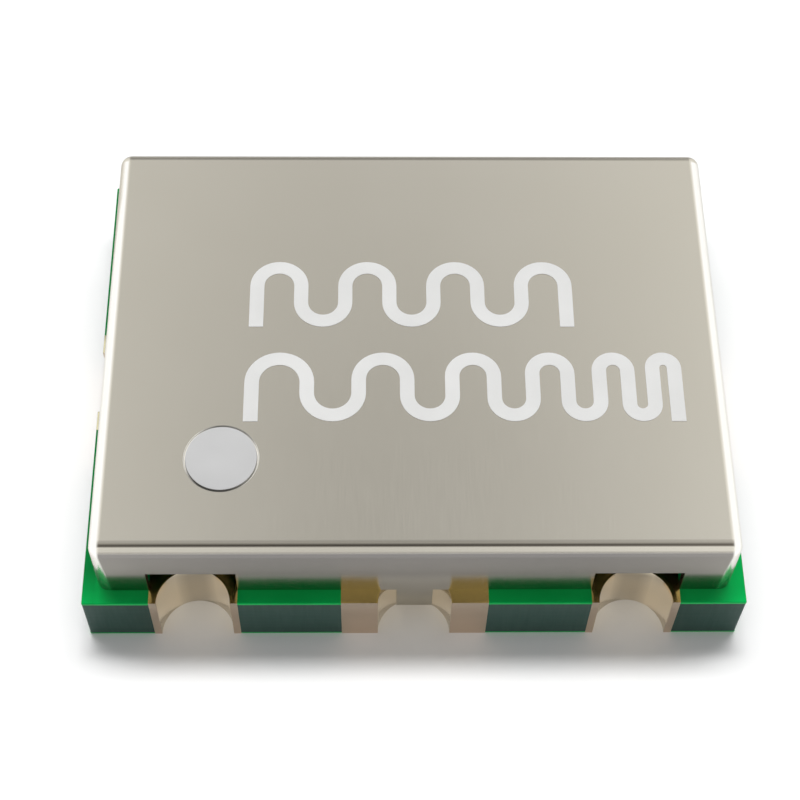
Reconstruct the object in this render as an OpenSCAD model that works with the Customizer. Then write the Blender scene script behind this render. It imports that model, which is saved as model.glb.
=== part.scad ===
// Shielded voltage-controlled oscillator module on a castellated board.
// Origin: middle of the underside. X runs along the long side, the can is on top (+Z).

/* [Board] */
// Width of the board, along X
board_w = 9; // [8.9:0.1:10.5]
// Depth of the board, along Y
board_d = 7; // [6.9:0.1:8.5]
// Thickness of the finished board
board_t = 1; // [0.8:0.05:1.6]
// Thickness of the copper foil, and of the upper mask that lies flush with it
foil_t = 0.05; // [0.03:0.01:0.08]
// Thickness of the lower mask, which covers the ground plane
mask_t = 0.04; // [0.02:0.01:0.06]
// Distance from the board's edge to the ground plane
plane_inset = 0.25; // [0.15:0.05:0.5]
// Gap between the ground plane and a signal land
plane_gap = 0.2; // [0.1:0.05:0.35]
// Radius of a filled ground via
via_r = 0.12; // [0.08:0.01:0.18]

/* [Terminals] */
// Radius of a plated half hole
hole_r = 0.5; // [0.46:0.01:0.53]
// Thickness of the plating in a half hole and on the board's edge
plating_t = 0.05; // [0.03:0.01:0.07]
// Distance between neighbouring terminals of a row
terminal_pitch = 3; // [2.9:0.05:3.15]
// Width of the land round a signal terminal
signal_land_w = 1.2; // [1.2:0.05:1.5]
// Width of the land round the middle terminal of a row
row_ground_land_w = 2; // [1.4:0.1:2.4]
// Width of the land round the terminal on a short side
side_ground_land_w = 1.6; // [1.2:0.1:2]
// Depth of every land, from the board's edge
land_d = 0.85; // [0.65:0.05:0.95]

/* [Shield can] */
// Board left free in front of the can's walls
ledge = 0.2; // [0.15:0.01:0.23]
// Height of the can above the board
can_h = 1.15; // [1.1:0.05:1.5]
// Thickness of the sheet
can_wall = 0.12; // [0.1:0.01:0.14]
// Inner radius of every bend and corner
bend_in_r = 0.05; // [0.03:0.01:0.1]
// Height of a window over a signal terminal
window_h = 0.5; // [0.3:0.05:0.6]
// Free width on each side of the signal land in a window
window_margin = 0; // [0:0.02:0.1]
// Length of a solder tab below the can's foot
tab_drop = 0.5; // [0.3:0.05:0.7]
// Gap between a tab's corner and the plated half hole
tab_gap = 0.11; // [0.06:0.01:0.15]

/* [Pin one dot] */
// Diameter of the pressed ring round the dot
dot_d = 1; // [0.6:0.05:1.3]
// Distance from the can's left side to the dot's middle
dot_from_side = 1.7; // [1:0.1:3]
// Distance from the can's front to the dot's middle
dot_from_front = 1.4; // [1:0.1:3]
// Depth of the recess under the dot
dot_sink = 0.03; // [0.02:0.01:0.06]
// Height of the dot above the can
dot_proud = 0.01; // [0:0.005:0.03]
// Groove between the dot and its recess
dot_groove = 0.02; // [0.01:0.005:0.05]

/* [Chips] */
// Length of a chip, along Y
chip_l = 1; // [0.9:0.02:1.04]
// Width of a chip, along X
chip_w = 0.5; // [0.4:0.02:0.56]
// Height of a capacitor
capacitor_h = 0.5; // [0.3:0.02:0.6]
// Height of a resistor
resistor_h = 0.35; // [0.25:0.01:0.45]
// Height of an inductor
inductor_h = 0.55; // [0.4:0.02:0.7]
// Length of a metal end cap
cap_l = 0.22; // [0.15:0.01:0.3]
// How far an end cap stands proud of the body
cap_proud = 0.02; // [0.01:0.005:0.04]
// Radius along a chip's long edges
chip_edge_r = 0.04; // [0.02:0.01:0.06]
// Length of a chip's land
chip_land_l = 0.45; // [0.35:0.01:0.5]
// Gap between the lands of neighbouring chips in a column
row_gap = 0.35; // [0.3:0.01:0.4]
// Gap between the circuit's copper and the lands of the front and back terminals
land_gap = 0.2; // [0.15:0.01:0.25]
// Gap between the outer parts and the lands of the side terminals
side_gap = 0.3; // [0.2:0.01:0.4]

/* [Diodes] */
// Length of a varactor's body, along Y
diode_l = 1.2; // [1.1:0.02:1.3]
// Width of a varactor's body
diode_w = 0.8; // [0.7:0.02:0.84]
// Height of a varactor's body
diode_h = 0.6; // [0.45:0.05:0.75]
// Distance over a varactor's lead tips
diode_span = 1.6; // [1.5:0.02:1.66]
// Width of a varactor's lead
diode_lead_w = 0.3; // [0.2:0.02:0.4]

/* [Transistors] */
// Length of a transistor's body, along X
transistor_l = 2; // [1.8:0.05:2.1]
// Width of a transistor's body, along Y
transistor_w = 1.25; // [1.1:0.05:1.35]
// Height of a transistor's top above the board
transistor_h = 0.9; // [0.75:0.05:0.95]
// Gap between a transistor's body and the board
transistor_lift = 0.06; // [0.03:0.01:0.1]
// Distance between the two leads on one side
lead_pitch = 1.3; // [1.1:0.05:1.4]
// Width of a transistor's lead
lead_w = 0.3; // [0.2:0.02:0.36]
// Thickness of every lead
lead_t = 0.12; // [0.08:0.01:0.14]
// Height of a transistor lead's straight part above the board
lead_rise = 0.36; // [0.3:0.01:0.42]
// Length of the flat foot of a transistor's lead
lead_foot = 0.25; // [0.2:0.01:0.28]
// How far a lead reaches into its body
lead_embed = 0.15; // [0.1:0.01:0.2]
// Slope of a moulded body's sides, from its parting line
mould_draft = 0.05; // [0.02:0.01:0.08]

/* [Copper] */
// Width of a track
track_w = 0.2; // [0.12:0.02:0.28]
// Width of the resonator strip
strip_w = 0.4; // [0.3:0.02:0.46]
// Copper left free round a lead's foot
lead_land_margin = 0.1; // [0.05:0.01:0.12]
// Size of a solder fillet at a chip's end
chip_fillet = 0.15; // [0.08:0.01:0.15]
// Size of a solder fillet at a lead's tip
lead_fillet = 0.08; // [0.04:0.01:0.08]

/* [Hidden] */
$fn = 64;

// Levels of the board's layers
foil_top_z = board_t - foil_t;
plane_top_z = mask_t + foil_t;
// Length by which a cutter reaches past what it cuts
cut_over = 0.1;

// Outer radius of the plating in a half hole
plated_r = hole_r + plating_t;

// The can stands back from the board's edge by the ledge
can_w = board_w - 2 * ledge;
can_d = board_d - 2 * ledge;
bend_out_r = bend_in_r + can_wall;
// Flat part of the can's top, inside the bends
flat_w = can_w - 2 * bend_out_r;
flat_d = can_d - 2 * bend_out_r;
window_w = signal_land_w + 2 * window_margin;
// A tab hangs in the half hole, so its width follows the chord at the wall's inner face
tab_w = 2 * (sqrt(pow(hole_r, 2) - pow(ledge + can_wall, 2)) - tab_gap);
dot_x = dot_from_side - can_w / 2;
dot_y = dot_from_front - can_d / 2;

// The circuit's copper reaches as far as this towards the front and the back
land_edge_y = board_d / 2 - land_d;
copper_end_y = land_edge_y - land_gap;

// Two columns of a varactor between chips, the resonator strip, a column of chips, the
// transistors and two more columns of chips share the width between the side terminals
parts_x = board_w / 2 - land_d - side_gap;
parts_w = 2 * diode_w + strip_w + transistor_l + 3 * chip_w;
part_gap = (2 * parts_x - parts_w) / 6;
column_1 = diode_w / 2 - parts_x;
column_2 = column_1 + diode_w + part_gap;
strip_x = column_2 + diode_w / 2 + part_gap + strip_w / 2;
column_3 = strip_x + strip_w / 2 + part_gap + chip_w / 2;
transistor_x = column_3 + chip_w / 2 + part_gap + transistor_l / 2;
column_4 = transistor_x + transistor_l / 2 + part_gap + chip_w / 2;
column_5 = column_4 + chip_w + part_gap;
// Half of the middle chip and one whole chip, with their toes and a gap, fill half of a column
land_toe = (copper_end_y - row_gap - 1.5 * chip_l) / 3;
row_pitch = chip_l + 2 * land_toe + row_gap;
front_row = -row_pitch;
middle_row = 0;
back_row = row_pitch;
front = -1;
back = 1;
left = -1;
right = 1;

// Distance of a land's middle from its own part's middle
chip_land_y = chip_l / 2 + land_toe - chip_land_l / 2;
lead_land_l = lead_foot + 2 * lead_land_margin;
// The two transistors stand one behind the other and share the depth of the circuit
transistor_span = copper_end_y - land_gap / 2 - 2 * lead_land_margin;
transistor_y = copper_end_y - lead_land_margin - transistor_span / 2;
lead_land_y = transistor_span / 2 + lead_land_margin - lead_land_l / 2;
lead_land_w = lead_w + lead_land_margin;
diode_land_l = (diode_span - diode_l) / 2 + 2 * lead_land_margin;
diode_land_y = diode_span / 2 + lead_land_margin - diode_land_l / 2;

/* ---- Places ---- */

// Each terminal is drawn at a front edge, with +Y pointing into the board
module on_front(x) translate([x, -board_d / 2, 0]) children();
module on_back(x) translate([x, board_d / 2, 0]) rotate(180) children();
module on_right() translate([board_w / 2, 0, 0]) rotate(90) children();
module on_left() translate([-board_w / 2, 0, 0]) rotate(-90) children();

module on_signal_terminals() {
    for (x = [-terminal_pitch, terminal_pitch]) {
        on_front(x) children();
        on_back(x) children();
    }
}

module on_row_grounds() {
    on_front(0) children();
    on_back(0) children();
}

module on_side_grounds() {
    on_left() children();
    on_right() children();
}

/* ---- Plated terminals ---- */

module land_plan(land_w) translate([-land_w / 2, 0]) square([land_w, land_d]);

// Lining of the half hole and of the board's edge beside it
module lining_plan(land_w) {
    intersection() {
        circle(plated_r);
        translate([-plated_r, 0]) square([2 * plated_r, plated_r]);
    }
    translate([-land_w / 2, 0]) square([land_w, plating_t]);
}

module terminal(land_w) {
    difference() {
        union() {
            linear_extrude(plane_top_z) land_plan(land_w);
            linear_extrude(board_t) lining_plan(land_w);
            translate([0, 0, foil_top_z]) linear_extrude(foil_t) land_plan(land_w);
        }
        translate([0, 0, -cut_over]) cylinder(r = hole_r, h = board_t + 2 * cut_over);
    }
}

module every_land_plan() {
    on_signal_terminals() land_plan(signal_land_w);
    on_row_grounds() land_plan(row_ground_land_w);
    on_side_grounds() land_plan(side_ground_land_w);
}

module every_lining_plan() {
    on_signal_terminals() lining_plan(signal_land_w);
    on_row_grounds() lining_plan(row_ground_land_w);
    on_side_grounds() lining_plan(side_ground_land_w);
}

// Copper on the board's top, from its plan
module top_foil() translate([0, 0, foil_top_z]) linear_extrude(foil_t) children();

module tuning_pin() {
    color("tan") {
        on_front(-terminal_pitch) terminal(signal_land_w);
        top_foil() tuning_input_plan();
    }
}

module supply_pin() {
    color("tan") {
        on_front(terminal_pitch) terminal(signal_land_w);
        top_foil() supply_input_plan();
    }
}

module output_pin() {
    color("tan") {
        on_back(terminal_pitch) terminal(signal_land_w);
        top_foil() output_feed_plan();
    }
}

module spare_pin() color("tan") on_back(-terminal_pitch) terminal(signal_land_w);

module ground_pin_front() color("tan") on_front(0) terminal(row_ground_land_w);
module ground_pin_back() color("tan") on_back(0) terminal(row_ground_land_w);
module ground_pin_left() color("tan") on_left() terminal(side_ground_land_w);
module ground_pin_right() color("tan") on_right() terminal(side_ground_land_w);

/* ---- Copper plans ---- */

module chip_land(x, row, end) {
    translate([x, row + end * chip_land_y]) square([chip_w, chip_land_l], center = true);
}

module diode_land(x, end) {
    translate([x, end * diode_land_y]) square([chip_w, diode_land_l], center = true);
}

module lead_land(row, side, end) {
    translate([transistor_x + side * lead_pitch / 2, row * transistor_y + end * lead_land_y])
        square([lead_land_w, lead_land_l], center = true);
}

// Straight tracks, from middle to middle of what they join
module track_along_x(y, x0, x1) translate([x0, y - track_w / 2]) square([x1 - x0, track_w]);
module track_along_y(x, y0, y1) translate([x - track_w / 2, y0]) square([track_w, y1 - y0]);

function land_level(row, end) = row + end * chip_land_y;
lead_left_x = transistor_x - lead_pitch / 2;
lead_right_x = transistor_x + lead_pitch / 2;

module tuning_input_plan() {
    chip_land(column_1, front_row, front);
    track_along_y(column_1, -land_edge_y - cut_over, land_level(front_row, front));
}

module supply_input_plan() {
    chip_land(column_5, front_row, front);
    track_along_y(column_5, -land_edge_y - cut_over, land_level(front_row, front));
}

module output_feed_plan() {
    chip_land(column_5, back_row, back);
    track_along_y(column_5, land_level(back_row, back), land_edge_y + cut_over);
}

module tuning_net_plan() {
    for (x = [column_1, column_2]) {
        chip_land(x, front_row, back);
        diode_land(x, front);
        track_along_y(x, land_level(front_row, back), -diode_land_y);
    }
    track_along_x(land_level(front_row, back), column_1, column_2);
}

module varactor_net_plan() {
    for (x = [column_1, column_2]) {
        chip_land(x, back_row, front);
        diode_land(x, back);
        track_along_y(x, diode_land_y, land_level(back_row, front));
    }
    track_along_x(diode_land_y, column_1, column_2);
}

module base_net_plan() {
    chip_land(column_3, front_row, front);
    lead_land(front, left, front);
    track_along_x(land_level(front_row, front), column_3, lead_left_x);
}

module emitter_net_plan() {
    chip_land(column_3, middle_row, front);
    lead_land(front, left, back);
    track_along_x(-chip_land_y, column_3, lead_left_x);
}

module emitter_bias_plan() {
    chip_land(column_4, front_row, front);
    lead_land(front, right, front);
    track_along_x(land_level(front_row, front), lead_right_x, column_4);
}

module buffer_base_plan() {
    chip_land(column_3, middle_row, back);
    lead_land(back, left, front);
    track_along_x(chip_land_y, column_3, lead_left_x);
}

module buffer_emitter_plan() {
    chip_land(column_3, back_row, back);
    lead_land(back, left, back);
    track_along_x(land_level(back_row, back), column_3, lead_left_x);
}

module collector_plan() {
    chip_land(column_4, back_row, back);
    lead_land(back, right, back);
    track_along_x(land_level(back_row, back), lead_right_x, column_4);
}

module supply_net_plan() {
    chip_land(column_5, front_row, back);
    chip_land(column_5, middle_row, front);
    chip_land(column_4, middle_row, front);
    lead_land(front, right, back);
    track_along_y(column_5, land_level(front_row, back), -chip_land_y);
    track_along_x(-chip_land_y, lead_right_x, column_5);
}

module output_net_plan() {
    chip_land(column_4, back_row, front);
    chip_land(column_5, back_row, front);
    chip_land(column_5, middle_row, back);
    track_along_x(land_level(back_row, front), column_4, column_5);
    track_along_y(column_5, chip_land_y, land_level(back_row, front));
}

module ground_islands_plan() {
    chip_land(column_2, front_row, front);
    chip_land(column_1, back_row, back);
    chip_land(column_4, front_row, back);
    chip_land(column_3, back_row, front);
    chip_land(column_4, middle_row, back);
    lead_land(back, right, front);
    track_along_x(chip_land_y, lead_right_x, column_4);
}

module strip_plan() {
    translate([strip_x - strip_w / 2, -copper_end_y]) square([strip_w, 2 * copper_end_y]);
    chip_land(column_2, back_row, back);
    track_along_x(land_level(back_row, back), column_2, strip_x);
    chip_land(column_3, front_row, back);
    track_along_x(land_level(front_row, back), strip_x, column_3);
}

module trace_plans() {
    tuning_net_plan();
    varactor_net_plan();
    base_net_plan();
    emitter_net_plan();
    emitter_bias_plan();
    buffer_base_plan();
    buffer_emitter_plan();
    collector_plan();
    supply_net_plan();
    output_net_plan();
    ground_islands_plan();
}

// One via under each ground island, and one at the strip's shorted end
via_places = [
    [column_2, land_level(front_row, front)],
    [column_1, land_level(back_row, back)],
    [column_4, land_level(front_row, back)],
    [column_3, land_level(back_row, front)],
    [column_4, chip_land_y],
    [strip_x, strip_w / 2 - copper_end_y]
];

module resonator_strip() color("goldenrod") top_foil() strip_plan();
module circuit_traces() color("goldenrod") top_foil() trace_plans();

module ground_vias() {
    color("goldenrod")
        for (place = via_places)
            translate([place[0], place[1], plane_top_z])
                cylinder(r = via_r, h = foil_top_z - plane_top_z);
}

/* ---- Board ---- */

module board_plan() square([board_w, board_d], center = true);

module ground_plane_plan() {
    difference() {
        square([board_w - 2 * plane_inset, board_d - 2 * plane_inset], center = true);
        on_signal_terminals()
            translate([-signal_land_w / 2 - plane_gap, 0])
                square([signal_land_w + 2 * plane_gap, land_d + plane_gap]);
        on_row_grounds() land_plan(row_ground_land_w);
        on_side_grounds() land_plan(side_ground_land_w);
    }
}

module ground_plane() {
    color("goldenrod") translate([0, 0, mask_t]) linear_extrude(foil_t) ground_plane_plan();
}

module board_core() {
    color("darkslategray")
        difference() {
            translate([0, 0, mask_t]) linear_extrude(foil_top_z - mask_t) board_plan();
            linear_extrude(board_t) every_lining_plan();
            linear_extrude(plane_top_z) {
                every_land_plan();
                ground_plane_plan();
            }
            for (place = via_places)
                translate([place[0], place[1], 0]) cylinder(r = via_r, h = board_t);
        }
}

module solder_mask_top() {
    color("green")
        translate([0, 0, foil_top_z])
            linear_extrude(foil_t)
                difference() {
                    board_plan();
                    every_land_plan();
                    tuning_input_plan();
                    supply_input_plan();
                    output_feed_plan();
                    strip_plan();
                    trace_plans();
                }
}

module solder_mask_bottom() {
    color("green")
        linear_extrude(mask_t)
            difference() {
                board_plan();
                every_land_plan();
            }
}

/* ---- Shield can ---- */

// Section through a wall and its bend: X from the bend's centre outwards, Y from the foot up
module wall_section() {
    translate([bend_in_r, 0]) square([can_wall, can_h - bend_out_r]);
    translate([0, can_h - bend_out_r])
        intersection() {
            difference() {
                circle(bend_out_r);
                circle(bend_in_r);
            }
            square(bend_out_r);
        }
}

module wall_along_y(length) rotate([90, 0, 0]) linear_extrude(length, center = true) wall_section();

// The drawn shell: a flat top, four straight walls and four corners turned from one section
module drawn_shell() {
    translate([-flat_w / 2, -flat_d / 2, can_h - can_wall]) cube([flat_w, flat_d, can_wall]);
    for (side = [0, 180]) {
        rotate(side) translate([flat_w / 2, 0, 0]) wall_along_y(flat_d);
        rotate(side + 90) translate([flat_d / 2, 0, 0]) wall_along_y(flat_w);
        rotate(side) translate([flat_w / 2, flat_d / 2, 0]) rotate_extrude(angle = 90) wall_section();
        rotate(side)
            translate([-flat_w / 2, flat_d / 2, 0])
                rotate(90)
                    rotate_extrude(angle = 90) wall_section();
    }
}

// Opening at a wall's foot, seen from the board's edge
module window() {
    translate([-window_w / 2, ledge - cut_over, -cut_over])
        cube([window_w, can_wall + 2 * cut_over, window_h + cut_over]);
}

module solder_tab() translate([-tab_w / 2, ledge, -tab_drop]) cube([tab_w, can_wall, tab_drop]);

module shield_can() {
    color("silver")
        translate([0, 0, board_t])
            difference() {
                union() {
                    drawn_shell();
                    on_row_grounds() solder_tab();
                    on_side_grounds() solder_tab();
                }
                on_signal_terminals() window();
                translate([dot_x, dot_y, can_h - dot_sink]) cylinder(d = dot_d, h = dot_sink + cut_over);
            }
}

module pin_one_dot() {
    color("gainsboro")
        translate([dot_x, dot_y, board_t + can_h - dot_sink])
            cylinder(d = dot_d - 2 * dot_groove, h = dot_sink + dot_proud);
}

/* ---- Chips ---- */

// Bar along Y with rounded long edges, standing on the board
module rounded_bar(length, width, height) {
    rotate([90, 0, 0])
        linear_extrude(length, center = true)
            translate([-width / 2, 0])
                rounded_rectangle(width, height);
}

module rounded_rectangle(width, height) {
    translate([chip_edge_r, 0]) square([width - 2 * chip_edge_r, height]);
    translate([0, chip_edge_r]) square([width, height - 2 * chip_edge_r]);
    for (x = [chip_edge_r, width - chip_edge_r])
        for (y = [chip_edge_r, height - chip_edge_r])
            translate([x, y]) circle(chip_edge_r);
}

// Ceramic body that ends inside two metal end caps, all one sintered piece
module chip(height) {
    translate([0, 0, cap_proud])
        rounded_bar(chip_l - cap_l, chip_w - 2 * cap_proud, height - 2 * cap_proud);
    for (end = [front, back])
        translate([0, end * (chip_l - cap_l) / 2, 0]) rounded_bar(cap_l, chip_w, height);
}

module place_chip(x, row) translate([x, row, board_t]) children();

module capacitor(x, row) color("burlywood") place_chip(x, row) chip(capacitor_h);
module resistor(x, row) color("dimgray") place_chip(x, row) chip(resistor_h);
module inductor(x, row) color("lightsteelblue") place_chip(x, row) chip(inductor_h);

module tuning_choke() inductor(column_1, front_row);
module supply_choke() inductor(column_5, front_row);
module collector_choke() inductor(column_5, middle_row);
module matching_inductor() inductor(column_4, back_row);

module tuning_capacitor() capacitor(column_2, front_row);
module varactor_capacitor() capacitor(column_2, back_row);
module base_capacitor() capacitor(column_3, front_row);
module interstage_capacitor() capacitor(column_3, middle_row);
module bypass_capacitor() capacitor(column_4, middle_row);
module output_capacitor() capacitor(column_5, back_row);

module damping_resistor() resistor(column_1, back_row);
module emitter_resistor() resistor(column_4, front_row);
module buffer_resistor() resistor(column_3, back_row);

/* ---- Moulded packages ---- */

// Outline of a moulded side: widest at the parting line and narrower above and below
module draft_profile(width, height) {
    polygon([
        [mould_draft - width / 2, 0],
        [width / 2 - mould_draft, 0],
        [width / 2, height / 2],
        [width / 2 - mould_draft, height],
        [mould_draft - width / 2, height],
        [-width / 2, height / 2]
    ]);
}

module moulded_block(size_x, size_y, height) {
    intersection() {
        rotate([90, 0, 0]) linear_extrude(size_y, center = true) draft_profile(size_x, height);
        rotate([90, 0, 90]) linear_extrude(size_x, center = true) draft_profile(size_y, height);
    }
}

// Gull-wing lead in its own side view: X outwards from the body's middle, Y up
lead_heel_y = transistor_span / 2 - lead_foot;
lead_knee_y = (transistor_w / 2 + lead_heel_y) / 2;
lead_turn = atan2(lead_rise, lead_heel_y - lead_knee_y);
lead_shift = lead_t * tan(lead_turn / 2);

module lead_profile() {
    polygon([
        [transistor_w / 2 - lead_embed, lead_rise],
        [lead_knee_y, lead_rise],
        [lead_heel_y, 0],
        [transistor_span / 2, 0],
        [transistor_span / 2, lead_t],
        [lead_heel_y + lead_shift, lead_t],
        [lead_knee_y + lead_shift, lead_rise + lead_t],
        [transistor_w / 2 - lead_embed, lead_rise + lead_t]
    ]);
}

module transistor_leads() {
    for (x = [-lead_pitch / 2, lead_pitch / 2])
        for (turn = [0, 180])
            translate([x, 0, 0])
                rotate(turn)
                    rotate([90, 0, 90])
                        linear_extrude(lead_w, center = true) lead_profile();
}

module transistor_body() {
    difference() {
        translate([0, 0, transistor_lift])
            moulded_block(transistor_l, transistor_w, transistor_h - transistor_lift);
        transistor_leads();
    }
}

module place_transistor(row) translate([transistor_x, row * transistor_y, board_t]) children();

module oscillator_transistor() color("black") place_transistor(front) transistor_body();
module oscillator_leads() color("lightgray") place_transistor(front) transistor_leads();
module buffer_transistor() color("black") place_transistor(back) transistor_body();
module buffer_leads() color("lightgray") place_transistor(back) transistor_leads();

// Flat leads, flush with the underside of the body
module diode_leads() {
    lead_l = (diode_span - diode_l) / 2 + lead_embed;
    for (end = [front, back])
        translate([0, end * (diode_span - lead_l) / 2, lead_t / 2])
            cube([diode_lead_w, lead_l, lead_t], center = true);
}

module diode_body() {
    difference() {
        moulded_block(diode_w, diode_l, diode_h);
        diode_leads();
    }
}

module place_diode(x) translate([x, middle_row, board_t]) children();

module varactor_a() color("black") place_diode(column_1) diode_body();
module varactor_a_leads() color("lightgray") place_diode(column_1) diode_leads();
module varactor_b() color("black") place_diode(column_2) diode_body();
module varactor_b_leads() color("lightgray") place_diode(column_2) diode_leads();

/* ---- Solder ---- */

// Hollow fillet between a land and an upright face that looks along +Y
module fillet(size, width) {
    rotate([90, 0, 90])
        linear_extrude(width, center = true)
            difference() {
                square(size);
                translate([size, size]) circle(size);
            }
}

// The same fillet at both ends of a part of the given length
module end_fillets(length, size, width) {
    for (turn = [0, 180])
        rotate(turn) translate([0, length / 2, 0]) fillet(size, width);
}

chip_places = [
    for (x = [column_1, column_2, column_3, column_4, column_5])
        for (row = [front_row, middle_row, back_row])
            if (row != middle_row || x > column_2) [x, row]
];

module solder_joints() {
    color("silver") {
        for (place = chip_places)
            place_chip(place[0], place[1])
                end_fillets(chip_l, chip_fillet, chip_w - 2 * chip_edge_r);
        for (x = [column_1, column_2])
            place_diode(x) end_fillets(diode_span, lead_fillet, diode_lead_w);
        for (row = [front, back])
            for (x = [-lead_pitch / 2, lead_pitch / 2])
                place_transistor(row)
                    translate([x, 0, 0]) end_fillets(transistor_span, lead_fillet, lead_w);
    }
}

shield_can();
pin_one_dot();
board_core();
solder_mask_top();
solder_mask_bottom();
ground_plane();
ground_vias();
tuning_pin();
ground_pin_front();
supply_pin();
ground_pin_right();
output_pin();
ground_pin_back();
spare_pin();
ground_pin_left();
resonator_strip();
circuit_traces();
oscillator_transistor();
oscillator_leads();
buffer_transistor();
buffer_leads();
varactor_a();
varactor_a_leads();
varactor_b();
varactor_b_leads();
tuning_choke();
supply_choke();
collector_choke();
matching_inductor();
tuning_capacitor();
varactor_capacitor();
base_capacitor();
interstage_capacitor();
bypass_capacitor();
output_capacitor();
damping_resistor();
emitter_resistor();
buffer_resistor();
solder_joints();
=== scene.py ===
# %% [markdown]
# # A shielded oscillator module
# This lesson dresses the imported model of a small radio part: a voltage-controlled oscillator on a
# 9 x 7 mm circuit board. A drawn metal can covers the circuit, and eight gold-plated half holes in
# the board's edges are the terminals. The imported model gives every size, so it is loaded first.

import math

import bmesh
import bpy
from mathutils import Matrix, Vector


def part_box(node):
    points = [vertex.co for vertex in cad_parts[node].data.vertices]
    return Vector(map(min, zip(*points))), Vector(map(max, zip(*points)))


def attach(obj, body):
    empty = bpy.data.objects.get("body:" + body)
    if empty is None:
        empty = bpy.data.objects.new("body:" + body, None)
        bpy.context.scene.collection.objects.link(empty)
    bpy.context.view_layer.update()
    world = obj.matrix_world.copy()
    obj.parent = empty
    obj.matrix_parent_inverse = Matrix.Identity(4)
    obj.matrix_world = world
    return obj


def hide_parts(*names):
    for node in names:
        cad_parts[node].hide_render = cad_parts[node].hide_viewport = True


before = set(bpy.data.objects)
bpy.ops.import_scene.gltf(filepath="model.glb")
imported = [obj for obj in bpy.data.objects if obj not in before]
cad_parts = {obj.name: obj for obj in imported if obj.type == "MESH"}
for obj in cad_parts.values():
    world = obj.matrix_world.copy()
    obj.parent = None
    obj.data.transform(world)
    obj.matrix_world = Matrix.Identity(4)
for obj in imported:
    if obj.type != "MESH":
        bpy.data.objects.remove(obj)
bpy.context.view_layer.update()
print("CAD nodes:", len(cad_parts))

# %% [markdown]
# Blender counts in metres, and its modelling tools merge what lies closer than a few micrometres.
# On a part this small that would eat bends and bevels, so each piece is shaped in millimetres and
# scaled down once, when it is done. CLOSE and MERGE say how near two points count as one place,
# and OVER is how far a cutting tool reaches past what it cuts.

# %% Millimetres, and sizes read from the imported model
MM = 0.001
CLOSE = 1e-3
MERGE = 1e-4
OVER = 0.1


def box_mm(node):
    """Lowest and highest corner of a CAD node, in millimetres."""
    low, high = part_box(node)
    return low / MM, high / MM


board_low, board_high = box_mm("board_core")
lid_low, lid_high = box_mm("shield_can")
top_of_board = box_mm("solder_mask_top")[1].z
half_width, half_depth = board_high.x, board_high.y
print("board", [round(v, 2) for v in board_high - board_low], "top at", round(top_of_board, 3))

# %% [markdown]
# The same few moves shape nearly every piece: a block, a rod, and joining or cutting two shapes.
# They are operators on a mesh, so no corners are written out by hand.

# %% Blocks, rods and cuts
ROUND_STEPS = 96


def block(shape, low, high):
    """Adds a box between two corners."""
    made = bmesh.ops.create_cube(shape, size=1.0)["verts"]
    low, high = Vector(low), Vector(high)
    bmesh.ops.scale(shape, vec=high - low, verts=made)
    bmesh.ops.translate(shape, vec=(high + low) / 2, verts=made)


def rod(shape, radius, bottom, top, x=0.0, y=0.0):
    """Adds an upright cylinder."""
    made = bmesh.ops.create_cone(
        shape, cap_ends=True, segments=ROUND_STEPS, radius1=radius, radius2=radius,
        depth=top - bottom,
    )["verts"]
    bmesh.ops.translate(shape, vec=(x, y, (top + bottom) / 2), verts=made)


def verts_in(items):
    """The vertices among the items that an operator gives back."""
    return [item for item in items if isinstance(item, bmesh.types.BMVert)]


def as_mesh(name, shape):
    """Turns a shape into a mesh, which ends the shape."""
    mesh = bpy.data.meshes.new(name)
    shape.to_mesh(mesh)
    shape.free()
    return mesh


def put(name, data):
    """Puts an object into the scene."""
    made = bpy.data.objects.new(name, data)
    bpy.context.scene.collection.objects.link(made)
    return made


def gather(whole, part):
    """Adds a shape to another without joining them, which ends the first."""
    mesh = as_mesh("part", part)
    whole.from_mesh(mesh)
    bpy.data.meshes.remove(mesh)


def combine(first, second, operation):
    """Joins two shapes ("UNION") or cuts the second from the first ("DIFFERENCE")."""
    solids = [put("blank", as_mesh("blank", shape)) for shape in (first, second)]
    step = solids[0].modifiers.new("combine", "BOOLEAN")
    step.operation, step.solver, step.object = operation, "EXACT", solids[1]
    bpy.context.view_layer.update()
    outcome = bmesh.new()
    outcome.from_mesh(solids[0].evaluated_get(bpy.context.evaluated_depsgraph_get()).data)
    for solid in solids:
        mesh = solid.data
        bpy.data.objects.remove(solid)
        bpy.data.meshes.remove(mesh)
    bmesh.ops.remove_doubles(outcome, verts=outcome.verts, dist=MERGE)
    return outcome


print("round shapes have", ROUND_STEPS, "sides")

# %% [markdown]
# Real edges are never perfectly sharp, and the thin line of light along a rounded edge is what
# makes a small part look real. A flat piece starts as a copy of its CAD mesh, whose loose
# triangles are first joined into whole faces, so that a bevel finds only true edges.

# %% Rounded edges
SHARP = math.radians(50)
FLAT = math.radians(0.5)


def round_edges(shape, radius, where=None, steps=2):
    """Rounds the sharp edges, or those of them that where(edge) picks."""
    picked = [
        edge
        for edge in shape.edges
        if edge.is_manifold and edge.calc_face_angle(0) > SHARP and (where is None or where(edge))
    ]
    bmesh.ops.bevel(
        shape, geom=picked, offset=radius, offset_type="OFFSET", segments=steps, profile=0.5,
        affect="EDGES", material=-1, clamp_overlap=True,
    )
    return len(picked)


def merged_copy(node):
    """A copy of a CAD node in millimetres, with its loose triangles joined into whole faces."""
    shape = bmesh.new()
    shape.from_mesh(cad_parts[node].data)
    bmesh.ops.scale(shape, vec=Vector((1, 1, 1)) / MM, verts=shape.verts)
    bmesh.ops.remove_doubles(shape, verts=shape.verts, dist=MERGE)
    bmesh.ops.dissolve_limit(shape, angle_limit=FLAT, verts=shape.verts, edges=shape.edges)
    return shape


print("edges over", round(math.degrees(SHARP)), "degrees count as sharp")

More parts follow.
